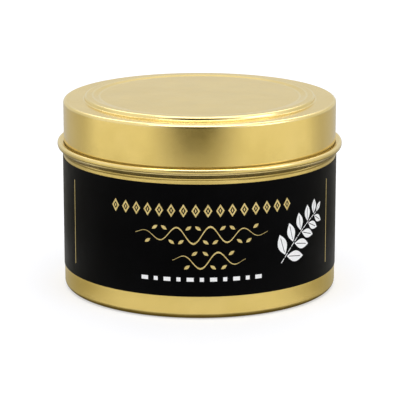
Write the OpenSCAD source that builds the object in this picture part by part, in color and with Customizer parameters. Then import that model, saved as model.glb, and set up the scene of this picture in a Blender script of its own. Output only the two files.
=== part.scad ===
// Round candle tin with a slip-on lid, a wrapped label and a poured candle.
// Millimetres. Z is up, the origin is the centre of the foot, the label's middle faces -Y.
// Each sheet-metal piece is turned from one line of corners [radius, height, bend radius]
// that follows one face of the sheet. The sheet lies a thickness to one side of that line.

/* [Tin body] */
// Outside diameter of the wall
body_d = 76.9; // [70:0.1:90]
// Thickness of the body's sheet
body_t = 0.28; // [0.2:0.01:0.4]
// Bend radius between the foot and the wall, outside
heel_r = 1.6; // [1:0.1:2.4]
// How far the base panel is pushed up from the foot
base_rise = 1.0; // [0.6:0.1:2]
// Distance from the wall to the inner corner of the foot ring
foot_w = 3.2; // [2.8:0.1:6]
// Sideways run of the slope between the foot ring and the base panel
base_run = 1.0; // [0.6:0.1:2]
// Bend radius at both ends of that slope
base_bend_r = 0.8; // [0.5:0.1:1]

/* [Bead, collar and rim] */
// Height above the floor at which the bead's crest starts to round off upwards
bead_z = 41.14; // [36:0.01:60]
// Upright face of the crest, under that height
bead_face_h = 0.4; // [0.1:0.01:0.6]
// How far the bead stands out of the wall
bead_out = 1.62; // [1.5:0.01:2.4]
// Radius of the bead's crest below its face
bead_low_r = 0.9; // [0.7:0.05:1.3]
// Radius of the bead's crest above its face
bead_top_r = 0.6; // [0.6:0.05:0.9]
// Rise of the bead's underside from the wall to the crest, in degrees
bead_under_slope = 46; // [40:1:58]
// Bend radius between the wall and the bead's underside
bead_foot_r = 1.2; // [0.3:0.1:1.6]
// Fall of the bead's top towards the collar, in degrees
bead_slope = 8; // [4:1:15]
// Bend radius at the collar's foot
collar_foot_r = 0.15; // [0.1:0.05:0.3]
// Outside radius of the rolled rim
rim_roll_r = 0.9; // [0.7:0.05:1.1]
// Straight end of the rolled rim, after its last bend
rim_lip = 0.15; // [0.05:0.05:0.3]

/* [Lid] */
// Outside diameter of the lid's skirt
lid_d = 76.6; // [70:0.1:90]
// Thickness of the lid's sheet
lid_t = 0.28; // [0.2:0.01:0.4]
// Height of the skirt, from its lower edge to the shoulder
skirt_h = 11.34; // [8:0.01:20]
// Bend radius between the skirt and the shoulder, outside
lid_edge_r = 0.8; // [0.7:0.1:1.5]
// Width of the flat shoulder, from the skirt to the foot of the step
shoulder_w = 5.85; // [3:0.05:10]
// Sideways run of the step
step_run = 0.21; // [0.1:0.01:0.6]
// Height of the step, from the shoulder to the crest of the ring
step_h = 1.0; // [0.9:0.01:1.5]
// Bend radius at the top of the step
step_bend_r = 0.6; // [0.4:0.05:0.7]
// Bend radius at the foot of the step
step_foot_bend_r = 0.35; // [0.2:0.05:0.4]
// Flat width of the raised ring inside the step
ring_w = 2.2; // [1.6:0.1:4]
// How far the centre panel lies under the raised ring
dish_h = 0.31; // [0.1:0.01:0.6]
// Sideways run from the raised ring down to the centre panel
dish_run = 1.9; // [1.4:0.1:4]
// Bend radius at both ends of that run
dish_bend_r = 3.0; // [2:0.5:5]

/* [Lid fit] */
// Radial clearance between the skirt and the collar
skirt_clearance = 0.08; // [0.03:0.01:0.1]
// Gap between the skirt's edge and the top of the bead
seat_gap = 0.45; // [0.1:0.05:0.6]
// Gap between the rolled rim and the underside of the shoulder
rim_gap = 0.27; // [0.1:0.01:1]

/* [Label] */
// Bare height of the wall under the label
label_z = 6.37; // [4:0.01:12]
// Bare height of the wall between the label and the bead's foot
label_top_gap = 1.29; // [0.8:0.01:6]
// Thickness of the label
label_t = 0.12; // [0.08:0.01:0.2]
// Thickness of its glue
glue_t = 0.03; // [0.01:0.01:0.05]
// Open seam between the label's ends, at the back
seam_w = 1.2; // [0.5:0.1:4]

/* [Label print] */
// Shift of the whole print along the wall, from the label's middle
print_shift = 0.6; // [-1:0.1:1]
// Thickness of the foil and of the white ink
ink_t = 0.04; // [0.02:0.01:0.08]
// Distance of the upright rules from the middle of the label, along the wall
rule_s = 43; // [36:0.5:46]
// Length of the upright rules
rule_h = 23.85; // [15:0.05:28]
// Line width of the upright rules
rule_w = 0.22; // [0.2:0.01:0.8]
// Height of the rules' middle above the label's middle
rule_up = 0.05; // [-1:0.05:1]
// Number of lozenges in the top row
lozenge_n = 16; // [8:1:16]
// Distance from one lozenge to the next
lozenge_pitch = 3.3; // [2.8:0.05:3.5]
// Width of a lozenge
lozenge_w = 2.3; // [1.8:0.1:2.4]
// Height of a lozenge
lozenge_h = 3.6; // [3:0.1:4.5]
// Line width of a lozenge
lozenge_line_w = 0.5; // [0.4:0.05:0.6]
// Height of the top row above the label's middle
row_up = 8.3; // [7:0.1:10]
// Largest line width of the two flourishes
vine_w = 0.5; // [0.3:0.05:0.7]
// Height of their largest wave above its middle
vine_h = 2.4; // [1.6:0.1:2.6]
// Length of the upper flourish
vine_upper_l = 37; // [24:0.5:44]
// Height of the upper flourish above the label's middle
vine_upper_up = 1.6; // [0:0.1:2]
// Length of the lower flourish
vine_lower_l = 20; // [12:0.5:24]
// Drop of the lower flourish under the label's middle
vine_lower_down = 5.4; // [5:0.1:6]
// Shift of the lower flourish along the wall
vine_lower_shift = 2; // [-4:0.5:4]
// Number of white dashes in the bottom row
dash_n = 11; // [5:1:13]
// Distance from one dash to the next
dash_pitch = 3.15; // [2.8:0.05:3.3]
// Length of a dash
dash_l = 1.9; // [1.4:0.1:2.1]
// Height of a dash
dash_h = 1.1; // [0.6:0.1:1.6]
// Drop of the bottom row under the label's middle
dash_down = 10.7; // [10:0.1:12]
// Length of the largest leaf of the white sprig
leaf_l = 6.4; // [4:0.1:7]
// Width of that leaf
leaf_w = 3.2; // [2:0.1:3.6]
// Where the sprig's stem starts, along the wall from the label's middle
sprig_s = 23; // [20:0.5:26]
// Run of the stem along the wall
sprig_l = 14; // [8:0.5:15]
// Drop of the stem's start under the label's middle
sprig_down = 8; // [4:0.5:9]
// Rise of the stem
sprig_h = 12; // [6:0.5:14]

/* [Candle] */
// Depth of the wax surface under the rim
headspace = 14.6; // [14.3:0.1:20]
// Shrink gap between the wax and what it was poured into
wax_gap = 0.05; // [0.02:0.01:0.1]
// Diameter of the wick
wick_d = 2.5; // [1.8:0.1:4]
// Length of wick that stands out of the wax
wick_show = 6.0; // [4:0.5:8]
// Rounding of the wick's trimmed end
wick_tip_r = 0.5; // [0.2:0.1:0.8]
// Clearance of the wick in the neck of its metal tab
wick_clearance = 0.03; // [0.02:0.01:0.1]
// Diameter of the wick's metal tab and of the sticker under it
tab_d = 20; // [15:0.5:32]
// Thickness of the metal tab
tab_t = 0.3; // [0.2:0.01:0.4]
// Height of the tab's neck
neck_h = 6; // [3:0.5:10]
// Bend radius between the tab's disc and its neck
tab_bend_r = 0.8; // [0.5:0.1:1.2]
// Thickness of the double-sided sticker
sticker_t = 0.8; // [0.4:0.1:1.5]

/* [Hidden] */

// Angle between two neighbouring points of a bend
bend_step = 7.5;
// Sides of a small round shape
round_fn = 48;
// Points closer than this are one point
same_point = 0.0001;
// Clearance between the label and its print
print_gap = 0.01;
// Part of the label's turn that is never printed, at the back, in degrees
print_open = 90;
// How far the flat shapes of the print stand before and behind the wall
print_depth = 1;

gold = [0.80, 0.66, 0.34];
black = [0.06, 0.06, 0.06];
foil = [0.82, 0.68, 0.38];
white = [0.95, 0.95, 0.94];
cream = [0.93, 0.88, 0.70];
cotton = [0.96, 0.94, 0.88];
steel = [0.75, 0.75, 0.77];
sticker_white = [0.90, 0.90, 0.88];

body_r = body_d / 2;
foot_inner_r = body_r - foot_w;
panel_r = foot_inner_r - base_run;
bead_r = body_r + bead_out;
bead_low_z = bead_z - bead_face_h - bead_low_r * tan(45 - bead_under_slope / 2);
bead_foot_z = bead_low_z - bead_out * tan(bead_under_slope);
bead_top_z = bead_z + bead_top_r * tan(45 + bead_slope / 2);

lid_r = lid_d / 2;
collar_r = lid_r - lid_t - skirt_clearance;
collar_z = bead_top_z - (bead_r - collar_r) * tan(bead_slope);
seat_z = bead_top_z - (bead_r - lid_r) * tan(bead_slope);
lid_z = seat_z + seat_gap;
shoulder_z = lid_z + skirt_h;
rim_z = shoulder_z - lid_t - rim_gap;

step_foot_r = lid_r - shoulder_w;
step_top_r = step_foot_r - step_run;
ring_inner_r = step_top_r - ring_w;
dish_r = ring_inner_r - dish_run;
ring_z = shoulder_z + step_h;
dish_z = ring_z - dish_h;

label_r = body_r + glue_t + label_t;
label_top_z = bead_foot_z - label_top_gap;
label_mid_z = (label_z + label_top_z) / 2;
print_r = label_r + print_gap;

floor_z = base_rise + body_t;
wax_z = rim_z - headspace;
wick_r = wick_d / 2;
tab_z = floor_z + sticker_t;
tab_r = tab_d / 2;
neck_r = wick_r + wick_clearance;

// Foot, heel and wall, up to the height that is asked for
function cup_corners(start_r, top_z) = [
    [start_r, base_rise, 0],
    [panel_r, base_rise, base_bend_r],
    [foot_inner_r, 0, base_bend_r],
    [body_r, 0, heel_r],
    [body_r, top_z, bead_foot_r],
];

body_corners = concat(cup_corners(0, bead_foot_z), [
    [bead_r, bead_low_z, bead_low_r],
    [bead_r, bead_top_z, bead_top_r],
    [collar_r, collar_z, collar_foot_r],
    [collar_r, rim_z, rim_roll_r],
    [collar_r - 2 * rim_roll_r, rim_z, rim_roll_r],
    [collar_r - 2 * rim_roll_r, rim_z - 2 * rim_roll_r, rim_roll_r],
    [collar_r - rim_roll_r + rim_lip, rim_z - 2 * rim_roll_r, 0],
]);

lid_corners = [
    [0, dish_z, 0],
    [dish_r, dish_z, dish_bend_r],
    [ring_inner_r, ring_z, dish_bend_r],
    [step_top_r, ring_z, step_bend_r],
    [step_foot_r, shoulder_z, step_foot_bend_r],
    [lid_r, shoulder_z, lid_edge_r],
    [lid_r, lid_z, 0],
];

tab_corners = [
    [tab_r, tab_z, 0],
    [neck_r, tab_z, tab_bend_r],
    [neck_r, tab_z + neck_h, 0],
];

// Direction from one corner to another
function heading(a, b) = atan2(b[1] - a[1], b[0] - a[0]);
// Unit vector to the left of a direction
function left_of(angle) = [-sin(angle), cos(angle)];
// The same turn between -180 and 180 degrees
function short_turn(angle) = angle > 180 ? angle - 360 : angle < -180 ? angle + 360 : angle;
function flipped(list) = [for (i = [len(list) - 1:-1:0]) list[i]];
function without_doubles(list) =
    [for (i = [0:len(list) - 1]) if (i == 0 || norm(list[i] - list[i - 1]) > same_point) list[i]];

// Points of the bend at corner b, moved to the left of the line by off
function bend(a, b, c, off) =
    let (
        start_angle = heading(a, b),
        turn = short_turn(heading(b, c) - start_angle),
        side = sign(turn),
        steps = ceil(abs(turn) / bend_step),
        back = b[2] * tan(abs(turn) / 2),
        start = [b[0] - back * cos(start_angle), b[1] - back * sin(start_angle)],
        centre = start + side * b[2] * left_of(start_angle)
    )
    [for (i = [0:steps]) centre - side * (b[2] - side * off) * left_of(start_angle + turn * i / steps)];

// The whole line with its bends, moved to the left by off
function face(corners, off) =
    let (
        n = len(corners),
        first = [corners[0][0], corners[0][1]],
        last = [corners[n - 1][0], corners[n - 1][1]]
    )
    without_doubles(concat(
        [first + off * left_of(heading(corners[0], corners[1]))],
        [for (i = [1:n - 2]) each bend(corners[i - 1], corners[i], corners[i + 1], off)],
        [last + off * left_of(heading(corners[n - 2], corners[n - 1]))]
    ));

// A turned piece of sheet: thickness is positive where the sheet lies left of its line
module turned_sheet(corners, thickness) {
    rotate_extrude($fn = 180)
        polygon(concat(face(corners, 0), flipped(face(corners, thickness))));
}

// A hoop of the wall: inner radius, thickness, height range, and the angle that is left open at the back
module hoop(r, thickness, low_z, high_z, open_angle) {
    rotate([0, 0, 90 + open_angle / 2])
        rotate_extrude(angle = 360 - open_angle, $fn = 180)
            translate([r, low_z]) square([thickness, high_z - low_z]);
}

// Angle round the axis of a length along the wall
function wall_angle(s) = s / label_r * 180 / PI;
// What a length along the wall measures from the front
function wrapped(s) = label_r * sin(wall_angle(s));
// How far the wall falls back at the ends of a print of this length
function wall_sag(l) = label_r * (1 - cos(wall_angle(l / 2)));

// Flat shapes laid on the label: the children are cut to a thin skin of the printed wall
module printed() {
    intersection() {
        hoop(print_r, ink_t, label_z, label_top_z, print_open);
        rotate([0, 0, wall_angle(print_shift)]) union() children();
    }
}

// Stands a flat shape up in front of the wall, s along the wall from the middle and up from it
module at_print(s, up, sag = 0) {
    rotate([0, 0, wall_angle(s)])
        translate([0, print_depth + sag - label_r, label_mid_z + up])
            rotate([90, 0, 0])
                linear_extrude(height = 2 * print_depth + sag) children();
}

module lozenge(w, h) {
    polygon([[-w / 2, 0], [0, -h / 2], [w / 2, 0], [0, h / 2]]);
}

// An open lozenge with a bead in its middle
module lozenge_motif() {
    bead_w = 0.2 * lozenge_w;
    bead_h = 0.3 * lozenge_h;
    difference() {
        lozenge(lozenge_w, lozenge_h);
        lozenge(lozenge_w - 2 * lozenge_line_w, lozenge_h - 3 * lozenge_line_w);
    }
    lozenge(bead_w, bead_h);
}

// A pointed leaf that grows along +X from the origin, from its length and width
function leaf_points(l, w, n = 8) = concat(
    [for (i = [0:n]) [l * i / n, w / 2 * sin(180 * i / n)]],
    [for (i = [n - 1:-1:1]) [l * i / n, -w / 2 * sin(180 * i / n)]]
);

// A leaf with its midrib left open
module leaf(l, w) {
    rib_w = 0.2;
    rib_start = 0.12 * l;
    rib_l = 0.7 * l;
    difference() {
        polygon(leaf_points(l, w));
        translate([rib_start, -rib_w / 2]) square([rib_l, rib_w]);
    }
}

// Height of a flourish's line at s: a wave that dies away towards both ends
function vine_y(s, l, waves) = vine_h * sin(360 * waves * s / l) * cos(160 * s / l);
// One edge of the flourish's line, which swells in the middle: above it with side 1, under it with -1
function vine_edge(l, waves, side) =
    let (n = waves * 16, end_w = 0.12)
    [for (i = [0:n]) let (s = l * (i / n - 0.5))
        [wrapped(s), vine_y(s, l, waves) + side / 2 * max(end_w, vine_w * sin(180 * i / n))]];

// A small leaf under or over the line at s, which grows into the hollow on that side
module vine_leaf(s, l, waves, up, shift, side) {
    tilt = 35;
    step = 0.5;
    rises = vine_y(s + step, l, waves) > vine_y(s - step, l, waves);
    to_right = (side < 0) == rises;
    at_print(s + shift, up + side * vine_h / 2)
        rotate(to_right ? side * tilt : 180 - side * tilt)
            translate([0.12 * vine_h, 0]) polygon(leaf_points(0.8 * vine_h, 0.36 * vine_h));
}

// A flourish with a pair of small leaves in each of its hollows
module vine(l, waves, up, shift) {
    at_print(shift, up, wall_sag(l))
        polygon(concat(vine_edge(l, waves, 1), flipped(vine_edge(l, waves, -1))));
    crossings = waves * 2;
    for (k = [1:crossings - 1], side = [-1, 1])
        vine_leaf(l * (k / crossings - 0.5), l, waves, up, shift, side);
}

// Place on the sprig's bowed stem, from its start at t = 0 to its tip at 1
function stem_point(t) =
    let (bow = 1.6)
    [sprig_s + sprig_l * t, -sprig_down + sprig_h * t + bow * sin(180 * t)];

// White sprig: leaves in pairs along the stem, smaller towards its tip, where a last leaf stands
module sprig() {
    pairs = 5;
    leaf_lean = 58;
    tip_lean = 48;
    stem_w = 0.2;
    stem_parts = 12;
    for (k = [0:pairs - 1], side = [-1, 1]) {
        t = (k + 0.5) / pairs;
        size = 1 - 0.42 * t;
        lean = heading(stem_point(t - 0.05), stem_point(t + 0.05));
        at_print(stem_point(t)[0], stem_point(t)[1])
            rotate(lean + side * leaf_lean) translate([0.5, 0]) leaf(leaf_l * size, leaf_w * size);
    }
    tip = stem_point(1);
    at_print(tip[0], tip[1]) rotate(tip_lean) leaf(0.5 * leaf_l, 0.45 * leaf_w);
    for (i = [0:stem_parts - 1]) {
        from = stem_point(i / stem_parts);
        to = stem_point((i + 0.8) / stem_parts);
        at_print(from[0], from[1])
            rotate(heading(from, to)) translate([0, -stem_w / 2]) square([norm(to - from), stem_w]);
    }
}

module tin_body() {
    color(gold) turned_sheet(body_corners, body_t);
}

module lid() {
    color(gold) turned_sheet(lid_corners, -lid_t);
}

module label() {
    color(black) hoop(body_r + glue_t, label_t, label_z, label_top_z, wall_angle(seam_w));
}

module label_gold_print() {
    color(foil) printed() {
        for (side = [-1, 1])
            at_print(side * rule_s, rule_up) square([rule_w, rule_h], center = true);
        for (i = [0:lozenge_n - 1])
            at_print((i - (lozenge_n - 1) / 2) * lozenge_pitch, row_up) lozenge_motif();
        vine(vine_upper_l, 4, vine_upper_up, 0);
        vine(vine_lower_l, 2, -vine_lower_down, vine_lower_shift);
    }
}

module label_white_print() {
    color(white) printed() {
        for (i = [0:dash_n - 1])
            at_print((i - (dash_n - 1) / 2) * dash_pitch, -dash_down)
                square([i % 2 == 0 ? dash_l : dash_h, dash_h], center = true);
        sprig();
    }
}

// Poured wax: it fills the cup up to its level and closes round the tab, its neck and the wick
module wax() {
    neck_top_z = tab_z + neck_h + wax_gap;
    around_tab = flipped(face(tab_corners, -tab_t - wax_gap));
    around_cup = face(cup_corners(tab_r + wax_gap, wax_z), body_t + wax_gap);
    color(cream)
        rotate_extrude($fn = 180)
            polygon(concat(
                [[wick_r + wax_gap, wax_z], [wick_r + wax_gap, neck_top_z]],
                [[neck_r + tab_t + wax_gap, neck_top_z]],
                around_tab,
                [[tab_r + wax_gap, tab_z + tab_t + wax_gap]],
                around_cup
            ));
}

module wick() {
    corners = [
        [0, wax_z + wick_show, 0],
        [wick_r, wax_z + wick_show, wick_tip_r],
        [wick_r, tab_z, 0],
    ];
    color(cotton)
        rotate_extrude($fn = round_fn)
            polygon(concat(face(corners, 0), [[0, tab_z]]));
}

module wick_tab() {
    color(steel) turned_sheet(tab_corners, -tab_t);
}

module wick_sticker() {
    color(sticker_white) translate([0, 0, floor_z]) cylinder(r = tab_r, h = sticker_t, $fn = 90);
}

tin_body();
lid();
label();
label_gold_print();
label_white_print();
wax();
wick();
wick_tab();
wick_sticker();
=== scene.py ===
"""Looks of a round candle tin with a slip-on lid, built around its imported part.

The scene is in metres, and so are the sizes of its floor, lamps and curtains. Sizes named in capitals
are in millimetres. A section is a list of complex numbers: distance from the tin's axis, plus the
height times 1j.
"""

import cmath
import math

import bmesh
import bpy
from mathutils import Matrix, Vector


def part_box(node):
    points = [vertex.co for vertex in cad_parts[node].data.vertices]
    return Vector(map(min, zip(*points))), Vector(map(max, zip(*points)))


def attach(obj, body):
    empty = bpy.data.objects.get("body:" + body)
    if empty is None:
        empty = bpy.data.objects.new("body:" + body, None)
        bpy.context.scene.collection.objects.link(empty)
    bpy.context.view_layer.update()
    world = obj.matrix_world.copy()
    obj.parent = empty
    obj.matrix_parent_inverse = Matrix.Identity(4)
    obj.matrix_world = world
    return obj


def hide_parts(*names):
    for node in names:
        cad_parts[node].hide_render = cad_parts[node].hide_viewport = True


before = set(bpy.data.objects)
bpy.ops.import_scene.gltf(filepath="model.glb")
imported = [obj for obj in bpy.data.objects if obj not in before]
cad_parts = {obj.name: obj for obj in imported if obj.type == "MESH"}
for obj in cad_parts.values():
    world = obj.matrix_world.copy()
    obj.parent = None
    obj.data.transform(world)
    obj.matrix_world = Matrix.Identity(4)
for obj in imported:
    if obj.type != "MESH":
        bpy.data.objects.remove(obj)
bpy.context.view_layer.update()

MM = 0.001

# Fineness of the turned meshes
SEGMENTS = 192
BEND_STEP = math.radians(5)
HOLD = 0.04
LONG_STRETCH = 1.0
SAME_POINT = 0.0005
SHARP_ANGLE = math.radians(40)

# Material slots of sheet metal, where the bends' slot paints a highlight and the crease's slot paints
# shade, and the widths under which a strip of the tin or the lid is a bend's
SHEET_SLOT = 0
CUT_SLOT = 1
HIGHLIGHT_BEND_SLOT = 2
PAINTED_SHADE_SLOT = 3
BODY_BEND_STRIP = 0.095
LID_BEND_STRIP = 0.27


def node_reach(name):
    """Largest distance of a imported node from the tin's axis, in millimetres."""
    return max(math.hypot(v.co.x, v.co.y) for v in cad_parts[name].data.vertices) / MM


def node_heights(name):
    """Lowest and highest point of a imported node, in millimetres."""
    low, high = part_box(name)
    return low.z / MM, high.z / MM


# Sizes that the imported nodes give
BEAD_R = node_reach("tin_body")
RIM_Z = node_heights("tin_body")[1]
LID_R = node_reach("lid")
LID_Z, RING_Z = node_heights("lid")
LABEL_R = node_reach("label")
LABEL_Z, LABEL_TOP_Z = node_heights("label")
TAB_R = node_reach("wick_tab")
TAB_Z, TAB_TOP_Z = node_heights("wick_tab")
WAX_Z = node_heights("wax")[1]
WICK_R = node_reach("wick")
WICK_Z, WICK_TOP_Z = node_heights("wick")

# Sheet metal and label, with their bends and their fit
SHEET_T = 0.28
LABEL_T = 0.12
LABEL_EASE = 0.03
GLUE_T = 0.03
SEAM_W = 1.2
BODY_R = LABEL_R - LABEL_T - GLUE_T
HEEL_R = 1.6
BASE_RISE = 1.0
FOOT_W = 3.2
BASE_RUN = 1.0
BASE_BEND_R = 0.8
BEAD_FACE_H = 0.4
BEAD_LOW_R = 0.9
BEAD_TOP_R = 0.6
BEAD_SLOPE = math.radians(8)
BEAD_UNDER_SLOPE = math.radians(46)
BEAD_FOOT_R = 1.2
COLLAR_FOOT_R = 0.15
SKIRT_CLEARANCE = 0.08
COLLAR_R = LID_R - SHEET_T - SKIRT_CLEARANCE
RIM_ROLL_R = 0.9
RIM_LIP = 0.15
SEAT_GAP = 0.45
SEAT_Z = LID_Z - SEAT_GAP
BEAD_TOP_Z = SEAT_Z + (BEAD_R - LID_R) * math.tan(BEAD_SLOPE)
BEAD_Z = BEAD_TOP_Z - BEAD_TOP_R * math.tan(math.pi / 4 + BEAD_SLOPE / 2)
BEAD_LOW_Z = BEAD_Z - BEAD_FACE_H - BEAD_LOW_R * math.tan(math.pi / 4 - BEAD_UNDER_SLOPE / 2)
BEAD_FOOT_Z = BEAD_LOW_Z - (BEAD_R - BODY_R) * math.tan(BEAD_UNDER_SLOPE)
COLLAR_Z = BEAD_TOP_Z - (BEAD_R - COLLAR_R) * math.tan(BEAD_SLOPE)
CREASE_GAP = 0.05
CREASE_TOP_Z = LID_Z - CREASE_GAP
LID_EDGE_R = 0.8
SHOULDER_W = 5.85
STEP_RUN = 0.21
STEP_H = 1.0
STEP_BEND_R = 0.6
STEP_FOOT_BEND_R = 0.35
RING_W = 2.2
DISH_H = 0.31
DISH_RUN = 1.9
DISH_BEND_R = 3.0
SHOULDER_Z = RING_Z - STEP_H
STEP_FOOT_R = LID_R - SHOULDER_W
STEP_TOP_R = STEP_FOOT_R - STEP_RUN
RING_INNER_R = STEP_TOP_R - RING_W
DISH_R = RING_INNER_R - DISH_RUN

# Wick and tab
TAB_T = 0.3
TAB_BEND_R = 0.8
NECK_GAP = 0.03
NECK_R = WICK_R + NECK_GAP
STRANDS = 6
STRAND_R = 0.27
STRAND_SWING = 0.13
STRAND_PITCH = 6.5
STRAND_STEP = 0.14
STRAND_SIDES = 6
STRAND_TIP = 0.55
WICK_FRAY = 0.25
FRAY_TURN = 2.3
CORE_SIDES = 12
CORE_TIP = 0.6
CORE_TIP_H = 0.1
OFF_AXIS = 0.0001

# Wax. Its top rises at the wick and at the wall, each over its own width, and sinks between them
WAX_GAP = 0.05
WICK_RISE = 0.35
WICK_RISE_W = 0.9
WALL_RISE = 0.30
WALL_RISE_W = 0.8
SINK = 0.45
SINK_R = 7
SINK_W = 5
WAX_STEPS = 48
WAX_WALL_STOP = 1.0
RIPPLE_DEPTH = 1.5

# Camera of the photograph, on the plane x = 0.1
CAMERA_X = 0.1
CAMERA_Y = -592.4
CAMERA_Z = 170.92
CAMERA_PITCH = math.radians(13.96)
CAMERA_LENS = 193.2
CAMERA_CLIP = 10

# Studio. A lamp of brightness 1 gets this many watts for each square metre of its face
FACE_WATTS = 4
CURTAIN_STEPS = 24
CURTAIN_UV = "spread"
SEEN_RAYS = ("Is Camera Ray", "Is Glossy Ray", "Is Transmission Ray")

# Base colours of the object
GOLD_PALE = (0.84, 0.63, 0.200)
GOLD_DEEP = (0.79, 0.585, 0.170)
# Paler gold on the tight bends, a painted highlight
BEND_HIGHLIGHT_PALE = (0.86, 0.69, 0.31)
BEND_HIGHLIGHT_DEEP = (0.82, 0.65, 0.27)
CUT_STEEL = (0.60, 0.59, 0.57)
# Painted shade for the corner under the lid's skirt
CREASE_PAINTED_SHADE = (0.50, 0.36, 0.08)
LABEL_BLACK = (0.0007, 0.0007, 0.0009)
LABEL_WORN = (0.0013, 0.0013, 0.0016)
FOIL_PALE = (0.88, 0.71, 0.30)
FOIL_DEEP = (0.62, 0.46, 0.14)
INK_WHITE = (0.95, 0.95, 0.94)
INK_GREY = (0.86, 0.86, 0.85)
WAX_PALE = (0.90, 0.84, 0.62)
WAX_DEEP = (0.85, 0.77, 0.50)
COTTON_PALE = (0.88, 0.85, 0.75)
COTTON_DEEP = (0.74, 0.68, 0.54)
STEEL = (0.66, 0.66, 0.68)
STICKER_WHITE = (0.82, 0.82, 0.80)

# Colours of the studio
DARK_ROOM = (0.06, 0.048, 0.006)
FOOT_SHADE = (0.10, 0.085, 0.035)
GREY_WALL = (0.77, 0.765, 0.71)
GREY_TABLE = (0.58, 0.57, 0.54)
SIDE_SHADE = (0.25, 0.235, 0.17)
NEAR_SHADE = (0.43, 0.41, 0.31)
COOL_LIGHT = (0.97, 0.99, 1.08)


# Sections of the sheet-metal pieces

def unit(step):
    return step / abs(step)


def bend(before, corner, after, radius, offset):
    """Points of the bend at a corner, moved by offset to the left of the line."""
    way_in = unit(corner - before)
    turn = cmath.phase(unit(after - corner) / way_in)
    side = math.copysign(1, turn)
    start = corner - way_in * radius * math.tan(abs(turn) / 2)
    centre = start + side * radius * 1j * way_in
    steps = max(1, math.ceil(abs(turn) / BEND_STEP))
    spoke = (side * radius - offset) * 1j * way_in
    return [centre - spoke * cmath.rect(1, turn * i / steps) for i in range(steps + 1)]


def held(points):
    """The same line, with two more points in each long straight stretch, so that it shades flat."""
    line = points[:1]
    for point in points[1:]:
        stretch = point - line[-1]
        if abs(stretch) < SAME_POINT:
            continue
        if abs(stretch) > LONG_STRETCH:
            line += [line[-1] + HOLD * unit(stretch), point - HOLD * unit(stretch)]
        line.append(point)
    return line


def face(corners, offset):
    """One face of a sheet: the line through the corners, moved by offset to its left.

    A corner is its distance, its height and the radius of its bend.
    """
    spots = [complex(corner[0], corner[1]) for corner in corners]
    points = [spots[0] + offset * 1j * unit(spots[1] - spots[0])]
    for i in range(1, len(spots) - 1):
        points += bend(spots[i - 1], spots[i], spots[i + 1], corners[i][2], offset)
    points.append(spots[-1] + offset * 1j * unit(spots[-1] - spots[-2]))
    return held(points)


def cup_corners(start_r, top_z):
    """Foot, heel and wall of the tin, up to a height."""
    foot_inner_r = BODY_R - FOOT_W
    return [
        (start_r, BASE_RISE, 0),
        (foot_inner_r - BASE_RUN, BASE_RISE, BASE_BEND_R),
        (foot_inner_r, 0, BASE_BEND_R),
        (BODY_R, 0, HEEL_R),
        (BODY_R, top_z, BEAD_FOOT_R),
    ]


def body_corners():
    """The whole tin: the cup, the bead, the collar that steps in under the lid, and the rolled rim."""
    roll = 2 * RIM_ROLL_R
    return cup_corners(0, BEAD_FOOT_Z) + [
        (BEAD_R, BEAD_LOW_Z, BEAD_LOW_R),
        (BEAD_R, BEAD_TOP_Z, BEAD_TOP_R),
        (LID_R, SEAT_Z, 0),
        (COLLAR_R, COLLAR_Z, COLLAR_FOOT_R),
        (COLLAR_R, CREASE_TOP_Z, 0),
        (COLLAR_R, RIM_Z, RIM_ROLL_R),
        (COLLAR_R - roll, RIM_Z, RIM_ROLL_R),
        (COLLAR_R - roll, RIM_Z - roll, RIM_ROLL_R),
        (COLLAR_R - RIM_ROLL_R + RIM_LIP, RIM_Z - roll, 0),
    ]


def lid_corners():
    """The lid: dished panel, raised ring, step, shoulder and skirt."""
    return [
        (0, RING_Z - DISH_H, 0),
        (DISH_R, RING_Z - DISH_H, DISH_BEND_R),
        (RING_INNER_R, RING_Z, DISH_BEND_R),
        (STEP_TOP_R, RING_Z, STEP_BEND_R),
        (STEP_FOOT_R, SHOULDER_Z, STEP_FOOT_BEND_R),
        (LID_R, SHOULDER_Z, LID_EDGE_R),
        (LID_R, LID_Z, 0),
    ]


# Meshes

def into_scene(name, data):
    """A new object of the scene from its mesh, lamp or camera."""
    thing = bpy.data.objects.new(name, data)
    bpy.context.scene.collection.objects.link(thing)
    return thing


def new_piece(name, points, faces, materials, face_slots=None):
    """A smooth mesh object from points in millimetres, with outward normals and its sharp edges kept."""
    mesh = bpy.data.meshes.new(name)
    mesh.from_pydata([[value * MM for value in point] for point in points], [], faces)
    for material in materials:
        mesh.materials.append(material)
    if face_slots:
        mesh.polygons.foreach_set("material_index", face_slots)
    working = bmesh.new()
    working.from_mesh(mesh)
    bmesh.ops.recalc_face_normals(working, faces=working.faces)
    working.to_mesh(mesh)
    working.free()
    mesh.shade_smooth()
    mesh.set_sharp_from_angle(angle=SHARP_ANGLE)
    return into_scene(name, mesh)


def turned(name, section, materials, strip_slots=None, height_at=None):
    """A piece turned round the axis from a section that starts and ends on it, or else closes on itself.

    strip_slots gives the material slot of a strip by the number of the section point where it starts.
    height_at gives what is added to a point's height from its place.
    """
    strip_slots = strip_slots or {}
    points = []
    rings = []
    for spot in section:
        around = 1 if spot.real < SAME_POINT else SEGMENTS
        rings.append(range(len(points), len(points) + around))
        for k in range(around):
            angle = 2 * math.pi * k / SEGMENTS
            x, y = spot.real * math.cos(angle), spot.real * math.sin(angle)
            rise = height_at(x, y, spot.imag) if height_at else 0
            points.append((x, y, spot.imag + rise))
    faces = []
    face_slots = []
    on_axis = len(rings[0]) == 1
    for i in range(len(rings) - 1 if on_axis else len(rings)):
        low, high = rings[i], rings[(i + 1) % len(rings)]
        for k in range(SEGMENTS):
            after = (k + 1) % SEGMENTS
            lower = [low[k % len(low)], low[after % len(low)]]
            upper = [high[after % len(high)], high[k % len(high)]]
            # At the axis a corner comes twice, and is kept once
            faces.append(list(dict.fromkeys(lower + upper)))
            face_slots.append(strip_slots.get(i, SHEET_SLOT))
    return new_piece(name, points, faces, materials, face_slots)


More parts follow.
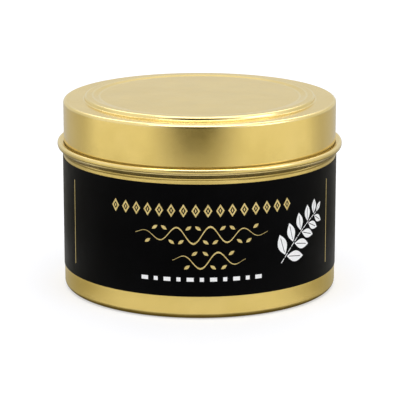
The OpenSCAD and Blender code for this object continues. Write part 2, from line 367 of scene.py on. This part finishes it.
def in_crease(spot):
    """Whether a place on the tin's face lies in the corner between the collar and the bead."""
    return spot.real < LID_R + SAME_POINT and BEAD_Z < spot.imag < CREASE_TOP_Z + SAME_POINT


def turned_sheet(name, corners, thickness, materials, bend_strip):
    """A piece of sheet metal: thickness is positive where the sheet lies left of its line.

    Strips narrower than bend_strip take the paler gold of the bends, a painted highlight. Only a piece
    that has a material for the crease, a painted shade, gets one.
    """
    outer = face(corners, 0)
    inner = face(corners, thickness)
    strip_slots = {len(outer) - 1: CUT_SLOT}
    for i in range(len(outer) - 1):
        before, after = outer[i], outer[i + 1]
        # Tight bends take the paler gold, a painted highlight
        if abs(after - before) < bend_strip:
            strip_slots[i] = HIGHLIGHT_BEND_SLOT
        # The crease between collar and bead takes the painted shade
        if len(materials) > PAINTED_SHADE_SLOT and in_crease(before) and in_crease(after):
            strip_slots[i] = PAINTED_SHADE_SLOT
    return turned(name, outer + inner[::-1], materials, strip_slots)


def wrapped_band(name, inner_r, outer_r, low_z, high_z, open_w, materials):
    """A band round the wall, open at the back over a width of open_w, with slightly eased edges."""
    section = [
        (inner_r, low_z),
        (outer_r - LABEL_EASE, low_z),
        (outer_r, low_z + LABEL_EASE),
        (outer_r, low_z + LABEL_EASE + HOLD),
        (outer_r, high_z - LABEL_EASE - HOLD),
        (outer_r, high_z - LABEL_EASE),
        (outer_r - LABEL_EASE, high_z),
        (inner_r, high_z),
    ]
    half_open = open_w / outer_r / 2
    start = math.pi / 2 + half_open
    sweep = 2 * math.pi - 2 * half_open
    points = []
    for k in range(SEGMENTS + 1):
        angle = start + sweep * k / SEGMENTS
        points += [(r * math.cos(angle), r * math.sin(angle), z) for r, z in section]
    n = len(section)
    faces = [list(range(n)), list(range(SEGMENTS * n, SEGMENTS * n + n))]
    for k in range(SEGMENTS):
        for i in range(n):
            after = (i + 1) % n
            faces.append([k * n + i, k * n + after, (k + 1) * n + after, (k + 1) * n + i])
    return new_piece(name, points, faces, materials)


def add_tube(points, faces, path, radii, sides):
    """Adds a closed tube round a path of vectors to the lists of points and faces."""
    first = len(points)
    for i, spot in enumerate(path):
        along = (path[min(i + 1, len(path) - 1)] - path[max(i - 1, 0)]).normalized()
        out = Vector((spot.x, spot.y, 0.0))
        out = (out - along * out.dot(along)).normalized()
        across = along.cross(out)
        for k in range(sides):
            angle = 2 * math.pi * k / sides
            points.append(spot + radii[i] * (out * math.cos(angle) + across * math.sin(angle)))
    for i in range(len(path) - 1):
        for k in range(sides):
            after = (k + 1) % sides
            low, high = first + i * sides, first + (i + 1) * sides
            faces.append([low + k, low + after, high + after, high + k])
    faces.append([first + k for k in range(sides)])
    last = first + (len(path) - 1) * sides
    faces.append([last + k for k in range(sides)])


def strand_path(turn_way, start_angle, top_z):
    """Centreline of one strand of the braid. It swings out and in where it crosses the other strands."""
    middle_r = WICK_R - STRAND_R - STRAND_SWING
    steps = round((top_z - WICK_Z) / STRAND_STEP)
    path = []
    for i in range(steps + 1):
        z = WICK_Z + (top_z - WICK_Z) * i / steps
        angle = start_angle + turn_way * 2 * math.pi * (z - WICK_Z) / STRAND_PITCH
        r = middle_r + turn_way * STRAND_SWING * math.cos(STRANDS * angle)
        path.append(Vector((r * math.cos(angle), r * math.sin(angle), z)))
    return path


def braided_wick(materials):
    """Two sets of strands that turn opposite ways and cross over and under, round a straight core."""
    points = []
    faces = []
    for turn_way in (1, -1):
        for k in range(STRANDS):
            top_z = WICK_TOP_Z - WICK_FRAY * (0.5 + 0.5 * math.sin(FRAY_TURN * k + turn_way))
            path = strand_path(turn_way, 2 * math.pi * k / STRANDS, top_z)
            radii = [STRAND_R] * len(path)
            radii[-1] = STRAND_R * STRAND_TIP
            add_tube(points, faces, path, radii, STRAND_SIDES)
    core_r = WICK_R - 2 * STRAND_R - STRAND_SWING
    core_top = WICK_TOP_Z - WICK_FRAY
    core = [Vector((OFF_AXIS, 0, z)) for z in (WICK_Z, core_top, core_top + CORE_TIP_H)]
    add_tube(points, faces, core, [core_r, core_r, core_r * CORE_TIP], CORE_SIDES)
    return new_piece("braided_wick", points, faces, materials)


def wax_top(wall_r, hole_r):
    """The wax's top from the wall to the wick: it rises a little at both and sinks between them."""
    top = []
    for i in range(WAX_STEPS + 1):
        r = wall_r + (hole_r - wall_r) * i / WAX_STEPS
        at_wick = WICK_RISE * math.exp(-(r - hole_r) / WICK_RISE_W)
        at_wall = WALL_RISE * math.exp(-(wall_r - r) / WALL_RISE_W)
        between = SINK * math.exp(-((r - hole_r - SINK_R) / SINK_W) ** 2)
        top.append(complex(r, WAX_Z + at_wick + at_wall - between - WICK_RISE))
    return top


def wax_section():
    """The poured wax: round the tab's neck, over its disc, along the cup and back over its own top."""
    tab_corners = [(TAB_R, TAB_Z, 0), (NECK_R, TAB_Z, TAB_BEND_R), (NECK_R, TAB_TOP_Z, 0)]
    tab_edge_r = TAB_R + WAX_GAP
    neck_top_z = TAB_TOP_Z + WAX_GAP
    hole_r = WICK_R + WAX_GAP
    wall_r = BODY_R - SHEET_T - WAX_GAP
    return held(
        [complex(hole_r, neck_top_z), complex(NECK_R + TAB_T + WAX_GAP, neck_top_z)]
        + face(tab_corners, -TAB_T - WAX_GAP)[::-1]
        + [complex(tab_edge_r, TAB_Z + TAB_T + WAX_GAP)]
        + face(cup_corners(tab_edge_r, WAX_Z - WAX_WALL_STOP), SHEET_T + WAX_GAP)
        + wax_top(wall_r, hole_r)
    )


def wax_ripple(x, y, z):
    """Slow unevenness of the wax's top, none of it lower down."""
    slow_h, quick_h = 0.05, 0.03
    slow_x, slow_y, quick = 5.1, 4.3, 2.7
    start_x, start_y = 0.7, 0.4
    if z < WAX_Z - RIPPLE_DEPTH:
        return 0
    slow_wave = slow_h * math.sin(x / slow_x + start_x) * math.cos(y / slow_y + start_y)
    return slow_wave + quick_h * math.sin((x + y) / quick)


# Material nodes

def new_material(name, settings):
    """A material with a Principled shader that has these plain values.

    Returns the material, its nodes and the shader.
    """
    material = bpy.data.materials.new(name)
    material.use_nodes = True
    shader = material.node_tree.nodes["Principled BSDF"]
    for socket, value in settings.items():
        shader.inputs[socket].default_value = value
    return material, material.node_tree, shader


def stage_material(name):
    """A material with an output and no shader yet. Returns the material and its nodes."""
    material = bpy.data.materials.new(name)
    material.use_nodes = True
    tree = material.node_tree
    tree.nodes.remove(tree.nodes["Principled BSDF"])
    return material, tree


def noise(tree, size, detail, stretch=(1, 1, 1)):
    """A noise pattern of about this size in millimetres, stretched along the object's axes."""
    place = tree.nodes.new("ShaderNodeTexCoord")
    mapping = tree.nodes.new("ShaderNodeMapping")
    mapping.inputs["Scale"].default_value = [1 / factor for factor in stretch]
    pattern = tree.nodes.new("ShaderNodeTexNoise")
    pattern.inputs["Scale"].default_value = 1 / (size * MM)
    pattern.inputs["Detail"].default_value = detail
    tree.links.new(place.outputs["Object"], mapping.inputs["Vector"])
    tree.links.new(mapping.outputs["Vector"], pattern.inputs["Vector"])
    return pattern.outputs["Fac"]


def spread(tree, value, low, high, from_low=0.3, from_high=0.7):
    """Stretches a value over the range from low to high. Its own range, if not given, is a noise's."""
    node = tree.nodes.new("ShaderNodeMapRange")
    node.inputs["From Min"].default_value = from_low
    node.inputs["From Max"].default_value = from_high
    node.inputs["To Min"].default_value = low
    node.inputs["To Max"].default_value = high
    tree.links.new(value, node.inputs["Value"])
    return node.outputs["Result"]


def blend_colours(tree, factor, first, second):
    """Goes from the first colour at factor 0 to the second at 1."""
    node = tree.nodes.new("ShaderNodeMix")
    # With this type set, the names below find the sockets for colours
    node.data_type = "RGBA"
    node.inputs["A"].default_value = (*first, 1)
    node.inputs["B"].default_value = (*second, 1)
    tree.links.new(factor, node.inputs["Factor"])
    return node.outputs["Result"]


def uneven_colour(tree, shader, first, second, size, detail, stretch=(1, 1, 1)):
    """Base colour that wanders between two colours."""
    tone = spread(tree, noise(tree, size, detail, stretch), 0, 1)
    tree.links.new(blend_colours(tree, tone, first, second), shader.inputs["Base Color"])


def uneven_roughness(tree, shader, low, high, size, detail):
    """Roughness that wanders between low and high."""
    tree.links.new(spread(tree, noise(tree, size, detail), low, high), shader.inputs["Roughness"])


def add_bump(tree, shader, depth, size, detail, stretch=(1, 1, 1)):
    """Adds a bump of a noise pattern, depth in millimetres from its lowest to its highest."""
    height = noise(tree, size, detail, stretch)
    node = tree.nodes.new("ShaderNodeBump")
    node.inputs["Distance"].default_value = depth * MM
    previous = shader.inputs["Normal"].links
    if previous:
        tree.links.new(previous[0].from_socket, node.inputs["Normal"])
    tree.links.new(height, node.inputs["Height"])
    tree.links.new(node.outputs["Normal"], shader.inputs["Normal"])


# Materials of the object

def gold_tinplate(name, deep, pale):
    """Gold-lacquered tinplate: a soft gloss with faint smears, the sheet's fine grain and slow dents."""
    settings = {"Metallic": 1.0, "Coat Weight": 0.12, "Coat Roughness": 0.06}
    material, tree, shader = new_material(name, settings)
    uneven_colour(tree, shader, deep, pale, size=11, detail=3)
    uneven_roughness(tree, shader, low=0.16, high=0.22, size=4, detail=4)
    add_bump(tree, shader, depth=0.03, size=16, detail=1)
    add_bump(tree, shader, depth=0.0012, size=0.35, detail=2)
    return material


def cut_steel():
    """The bare steel that shows where the sheet was cut."""
    settings = {"Metallic": 1.0, "Base Color": (*CUT_STEEL, 1)}
    material, tree, shader = new_material("cut_steel", settings)
    uneven_roughness(tree, shader, low=0.3, high=0.5, size=0.4, detail=3)
    return material


def painted_crease_shade():
    """Painted shade: a dark, dull brown gold in the corner that the lid's skirt seats over, where shade
    falls.
    """
    settings = {"Metallic": 0.6, "Base Color": (*CREASE_PAINTED_SHADE, 1)}
    material, tree, shader = new_material("painted_crease_shade", settings)
    uneven_roughness(tree, shader, low=0.5, high=0.65, size=0.5, detail=2)
    return material


def label_black():
    """Black label film with a satin face and a faint fibre grain."""
    settings = {"Specular IOR Level": 0.042, "Sheen Weight": 0.075, "Sheen Roughness": 0.25}
    material, tree, shader = new_material("label_black", settings)
    uneven_colour(tree, shader, LABEL_BLACK, LABEL_WORN, size=7, detail=4)
    uneven_roughness(tree, shader, low=0.36, high=0.44, size=3, detail=3)
    add_bump(tree, shader, depth=0.0015, size=0.3, detail=3)
    return material


def gold_foil():
    """Gold print, a little speckled where the foil took unevenly."""
    settings = {"Metallic": 0.35, "Specular IOR Level": 0.5}
    material, tree, shader = new_material("gold_foil", settings)
    uneven_colour(tree, shader, FOIL_DEEP, FOIL_PALE, size=0.5, detail=3)
    uneven_roughness(tree, shader, low=0.32, high=0.46, size=1.2, detail=2)
    add_bump(tree, shader, depth=0.002, size=0.25, detail=2)
    return material


def white_ink():
    """White screen ink with a faint mottle."""
    material, tree, shader = new_material("white_ink", {"Specular IOR Level": 0.35})
    uneven_colour(tree, shader, INK_GREY, INK_WHITE, size=0.9, detail=4)
    uneven_roughness(tree, shader, low=0.45, high=0.6, size=0.6, detail=2)
    add_bump(tree, shader, depth=0.002, size=0.2, detail=2)
    return material


def candle_wax():
    """Cream wax that light sinks into, with the frosting of cooled wax."""
    settings = {
        "Subsurface Weight": 0.6,
        "Subsurface Scale": 0.004,
        "Subsurface Radius": (1.0, 0.75, 0.4),
        "Specular IOR Level": 0.4,
    }
    material, tree, shader = new_material("candle_wax", settings)
    uneven_colour(tree, shader, WAX_DEEP, WAX_PALE, size=6, detail=5)
    uneven_roughness(tree, shader, low=0.32, high=0.5, size=2, detail=4)
    add_bump(tree, shader, depth=0.02, size=1.2, detail=3)
    return material


def waxed_cotton():
    """Braided cotton with a little wax in it and fine fibres along the strands."""
    settings = {"Sheen Weight": 0.25, "Subsurface Weight": 0.15, "Subsurface Scale": 0.001}
    material, tree, shader = new_material("waxed_cotton", settings)
    uneven_colour(tree, shader, COTTON_DEEP, COTTON_PALE, size=0.12, detail=3, stretch=(1, 1, 3))
    uneven_roughness(tree, shader, low=0.7, high=0.9, size=0.5, detail=2)
    add_bump(tree, shader, depth=0.02, size=0.08, detail=2, stretch=(1, 1, 4))
    return material


def tab_steel():
    """Stamped steel of the wick's tab, with its rolling lines."""
    settings = {"Metallic": 1.0, "Base Color": (*STEEL, 1)}
    material, tree, shader = new_material("tab_steel", settings)
    uneven_roughness(tree, shader, low=0.25, high=0.4, size=0.6, detail=4)
    add_bump(tree, shader, depth=0.002, size=0.3, detail=2, stretch=(12, 1, 1))
    return material


def sticker_foam():
    """Double-sided foam sticker with small cells."""
    material, tree, shader = new_material("sticker_foam", {"Base Color": (*STICKER_WHITE, 1)})
    uneven_roughness(tree, shader, low=0.6, high=0.8, size=0.5, detail=3)
    add_bump(tree, shader, depth=0.03, size=0.25, detail=3)
    return material


# The object

def dress_node(name, material):
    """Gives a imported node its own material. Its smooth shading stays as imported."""
    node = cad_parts[name]
    for i in range(len(node.data.materials)):
        node.data.materials[i] = material


def stands_for(piece, node, body):
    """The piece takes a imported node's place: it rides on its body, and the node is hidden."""
    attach(piece, body)
    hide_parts(node)


def build_object():
    """The nine pieces: five with a finer shape of their own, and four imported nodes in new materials."""
    gold = gold_tinplate("gold_tinplate", GOLD_DEEP, GOLD_PALE)
    # A paler copy of the gold for the tight bends: a painted highlight
    highlight_gold = gold_tinplate("gold_painted_highlight", BEND_HIGHLIGHT_DEEP, BEND_HIGHLIGHT_PALE)
    lid_metal = [gold, cut_steel(), highlight_gold]
    # The fourth slot is the painted shade of the crease
    body_metal = [*lid_metal, painted_crease_shade()]
    body = turned_sheet("tin_body_sheet", body_corners(), SHEET_T, body_metal, BODY_BEND_STRIP)
    stands_for(body, "tin_body", "tin")
    lid = turned_sheet("lid_sheet", lid_corners(), -SHEET_T, lid_metal, LID_BEND_STRIP)
    stands_for(lid, "lid", "lid")
    film_r = BODY_R + GLUE_T
    film = [label_black()]
    label = wrapped_band("label_wrap", film_r, LABEL_R, LABEL_Z, LABEL_TOP_Z, SEAM_W, film)
    stands_for(label, "label", "tin")
    wax = turned("poured_wax", wax_section(), [candle_wax()], height_at=wax_ripple)
    stands_for(wax, "wax", "tin")
    stands_for(braided_wick([waxed_cotton()]), "wick", "tin")
    dress_node("label_gold_print", gold_foil())
    dress_node("label_white_print", white_ink())
    dress_node("wick_tab", tab_steel())
    dress_node("wick_sticker", sticker_foam())


# Nodes of the stage

def two_values(tree, operation, first, second):
    """One Math node. Each value is a socket or a number."""
    node = tree.nodes.new("ShaderNodeMath")
    node.operation = operation
    for i, value in enumerate((first, second)):
        if isinstance(value, (int, float)):
            node.inputs[i].default_value = value
        else:
            tree.links.new(value, node.inputs[i])
    return node.outputs[0]


def ray_kinds(tree, *names):
    """1 for a ray of any of these kinds, else 0."""
    path = tree.nodes.new("ShaderNodeLightPath")
    total = path.outputs[names[0]]
    for name in names[1:]:
        total = two_values(tree, "MAXIMUM", total, path.outputs[name])
    return total


def switched(tree, switch, off, on):
    """The value off where the switch is 0, and on where it is 1."""
    return spread(tree, switch, off, on, from_low=0, from_high=1)


def soft_edge(tree, distance, width):
    """0 at an edge and 1 where the distance from it is the width, with a smooth rise between."""
    node = tree.nodes.new("ShaderNodeMapRange")
    node.interpolation_type = "SMOOTHSTEP"
    node.inputs["From Max"].default_value = width
    tree.links.new(distance, node.inputs["Value"])
    return node.outputs["Result"]


def curtain_material(name, colour, length, side_fade, start_fade, end_fade):
    """A plain colour that fades away at the curtain's sides, start and end."""
    material, tree = stage_material(name)
    place = tree.nodes.new("ShaderNodeUVMap")
    place.uv_map = CURTAIN_UV
    split = tree.nodes.new("ShaderNodeSeparateXYZ")
    tree.links.new(place.outputs["UV"], split.inputs[0])
    to_middle = two_values(tree, "ABSOLUTE", split.outputs["X"], 0)
    from_side = two_values(tree, "SUBTRACT", 1, to_middle)
    to_end = two_values(tree, "SUBTRACT", length, split.outputs["Y"])
    side_cover = soft_edge(tree, from_side, side_fade)
    start_cover = soft_edge(tree, split.outputs["Y"], start_fade)
    end_cover = soft_edge(tree, to_end, end_fade)
    length_cover = two_values(tree, "MULTIPLY", start_cover, end_cover)
    cover = two_values(tree, "MULTIPLY", side_cover, length_cover)
    paint = tree.nodes.new("ShaderNodeEmission")
    paint.inputs["Color"].default_value = (*colour, 1)
    gone = tree.nodes.new("ShaderNodeBsdfTransparent")
    mix = tree.nodes.new("ShaderNodeMixShader")
    tree.links.new(cover, mix.inputs[0])
    tree.links.new(gone.outputs[0], mix.inputs[1])
    tree.links.new(paint.outputs[0], mix.inputs[2])
    tree.links.new(mix.outputs[0], tree.nodes["Material Output"].inputs["Surface"])
    return material


# Camera, floor, backdrop, lamps and curtains

def photo_camera():
    camera = into_scene("photo_camera", bpy.data.cameras.new("photo_camera"))
    camera.location = (CAMERA_X * MM, CAMERA_Y * MM, CAMERA_Z * MM)
    camera.rotation_euler = (math.pi / 2 - CAMERA_PITCH, 0, 0)
    camera.data.lens = CAMERA_LENS
    camera.data.clip_start = CAMERA_CLIP * MM
    bpy.context.scene.camera = camera


def white_world():
    """White for every ray that sees it, and a little less for the soft light that it gives."""
    soft_light = 0.72
    world = bpy.data.worlds.new("white_world")
    world.use_nodes = True
    tree = world.node_tree
    background = tree.nodes["Background"]
    background.inputs["Color"].default_value = (1, 1, 1, 1)
    strength = switched(tree, ray_kinds(tree, *SEEN_RAYS), soft_light, 1)
    tree.links.new(strength, background.inputs["Strength"])
    bpy.context.scene.world = world


def floor_paint():
    """Part of the floor's white is its own, so that it stays white and still takes a soft shadow.

    The camera sees a little more of that white than a mirror does.
    """
    shown_white, mirrored_white = 0.48, 0.34
    shown_paint, real_paint = 0.51, 0.80
    material, tree = stage_material("pale_floor")
    paint = tree.nodes.new("ShaderNodeBsdfDiffuse")
    camera_ray = ray_kinds(tree, "Is Camera Ray")
    seen_ray = ray_kinds(tree, *SEEN_RAYS)
    tree.links.new(switched(tree, seen_ray, real_paint, shown_paint), paint.inputs["Color"])
    glow = tree.nodes.new("ShaderNodeEmission")
    mirrored = switched(tree, seen_ray, 0, mirrored_white)
    extra = switched(tree, camera_ray, 0, shown_white - mirrored_white)
    tree.links.new(two_values(tree, "ADD", mirrored, extra), glow.inputs["Strength"])
    both = tree.nodes.new("ShaderNodeAddShader")
    tree.links.new(paint.outputs[0], both.inputs[0])
    tree.links.new(glow.outputs[0], both.inputs[1])
    tree.links.new(both.outputs[0], tree.nodes["Material Output"].inputs["Surface"])
    return material


def pale_floor():
    """A wide floor, a hair under the tin's foot."""
    half, drop = 4.0, 0.05 * MM
    mesh = bpy.data.meshes.new("floor")
    corners = [(-half, -half, -drop), (half, -half, -drop), (half, half, -drop), (-half, half, -drop)]
    mesh.from_pydata(corners, [], [(0, 1, 2, 3)])
    mesh.materials.append(floor_paint())
    floor = into_scene("floor", mesh)


def softbox(name, azimuth, elevation, distance, width, height, brightness, gloss_only=False):
    """A soft lamp that faces the tin from a direction, azimuth 0 on the camera's side and 90 at +X."""
    aim = Vector((0, 0, 0.03))
    around, up = math.radians(azimuth), math.radians(elevation)
    back = Vector((math.sin(around) * math.cos(up), -math.cos(around) * math.cos(up), math.sin(up)))
    lamp = bpy.data.lights.new(name, "AREA")
    lamp.shape = "RECTANGLE"
    lamp.size = width
    lamp.size_y = height
    lamp.energy = FACE_WATTS * brightness * width * height
    lamp.color = COOL_LIGHT
    box = into_scene(name, lamp)
    box.location = back * distance + aim
    box.rotation_euler = (-back).to_track_quat("-Z", "Y").to_euler()
    box.visible_camera = False
    box.visible_diffuse = not gloss_only


def studio_curtain(name, azimuth, half_width, line, colour, side_fade, start_fade, end_fade):
    """A sheet round the tin that only gloss sees: a line of (distance, height) turned about the axis.

    Azimuth 0 is the camera's side and 90 is +X. half_width is in degrees, side_fade a share of it,
    and the other fades are in metres along the line.
    """
    points, reach, spots = [], [0], []
    for before, after in zip(line, line[1:]):
        reach.append(reach[-1] + math.dist(before, after))
    for k in range(CURTAIN_STEPS + 1):
        share = 2 * k / CURTAIN_STEPS - 1
        angle = math.radians(azimuth + share * half_width)
        for (distance, height), length in zip(line, reach):
            points.append((distance * math.sin(angle), -distance * math.cos(angle), height))
            spots.append((share, length))
    n = len(line)
    faces = []
    for k in range(CURTAIN_STEPS):
        for i in range(n - 1):
            faces.append([k * n + i, k * n + i + 1, (k + 1) * n + i + 1, (k + 1) * n + i])
    mesh = bpy.data.meshes.new(name)
    mesh.from_pydata(points, [], faces)
    layer = mesh.uv_layers.new(name=CURTAIN_UV)
    for loop in mesh.loops:
        layer.data[loop.index].uv = spots[loop.vertex_index]
    mesh.materials.append(curtain_material(name, colour, reach[-1], side_fade, start_fade, end_fade))
    sheet = into_scene(name, mesh)
    sheet.visible_camera = False
    sheet.visible_diffuse = False
    sheet.visible_transmission = False
    sheet.visible_volume_scatter = False
    sheet.visible_shadow = False


def level(near, far, height):
    """A curtain's line that runs level."""
    return [(near, height), (far, height)]


def build_lamps():
    """Two soft lamps over the tin, and one at the right that only gloss sees."""
    softbox(
        "front_top_box", azimuth=0, elevation=72, distance=1.0,
        width=1.1, height=0.32, brightness=3.5,
    )
    softbox(
        "back_top_box", azimuth=180, elevation=52, distance=1.0,
        width=1.0, height=0.5, brightness=1.5,
    )
    softbox(
        "right_box", azimuth=60, elevation=20, distance=0.8,
        width=0.45, height=0.4, brightness=1.7, gloss_only=True,
    )


def build_room_curtains():
    """The dark side of the room where the camera stands, and the grey wall and table across from it."""
    dark_r, wall_r = 0.70, 0.72
    studio_curtain(
        "dark_camera_side", azimuth=-3, half_width=43,
        line=[(0.138, 0.001), (dark_r, 0.001), (dark_r, 0.66)],
        colour=DARK_ROOM, side_fade=0.9, start_fade=0.16, end_fade=0.16,
    )
    studio_curtain(
        "grey_back_wall", azimuth=180, half_width=100, line=[(wall_r, 0.0015), (wall_r, 0.44)],
        colour=GREY_WALL, side_fade=0.3, start_fade=0.01, end_fade=0.14,
    )
    studio_curtain(
        "grey_back_table", azimuth=180, half_width=94, line=level(0.0395, wall_r, height=0.0003),
        colour=GREY_TABLE, side_fade=0.30, start_fade=0.012, end_fade=0.01,
    )


def build_shade_curtains():
    """The shaded floor near the tin."""
    studio_curtain(
        "side_shade", azimuth=185, half_width=134, line=level(0.065, 0.21, height=0.0006),
        colour=SIDE_SHADE, side_fade=0.25, start_fade=0.02, end_fade=0.09,
    )
    studio_curtain(
        "near_side_shade", azimuth=180, half_width=146, line=level(0.0388, 0.070, height=0.00015),
        colour=NEAR_SHADE, side_fade=0.30, start_fade=0.0005, end_fade=0.02,
    )
    studio_curtain(
        "front_shade", azimuth=0, half_width=88, line=level(0.0565, 0.13, height=0.0007),
        colour=SIDE_SHADE, side_fade=0.3, start_fade=0.014, end_fade=0.04,
    )
    for name, azimuth in (("left_shade", -64), ("right_shade", 64)):
        studio_curtain(
            name, azimuth, half_width=46, line=level(0.10, 0.18, height=0.0008),
            colour=SIDE_SHADE, side_fade=0.45, start_fade=0.02, end_fade=0.014,
        )
    studio_curtain(
        "foot_shade", azimuth=0, half_width=180, line=level(0.030, 0.0437, height=-0.00002),
        colour=FOOT_SHADE, side_fade=0.0001, start_fade=0.0001, end_fade=0.0055,
    )


def build_studio():
    """White backdrop and floor, lamps, and the curtains that stand for what the metal mirrors."""
    white_world()
    pale_floor()
    build_lamps()
    build_room_curtains()
    build_shade_curtains()


photo_camera()
build_studio()
build_object()
bpy.context.scene.view_settings.view_transform = "Standard"
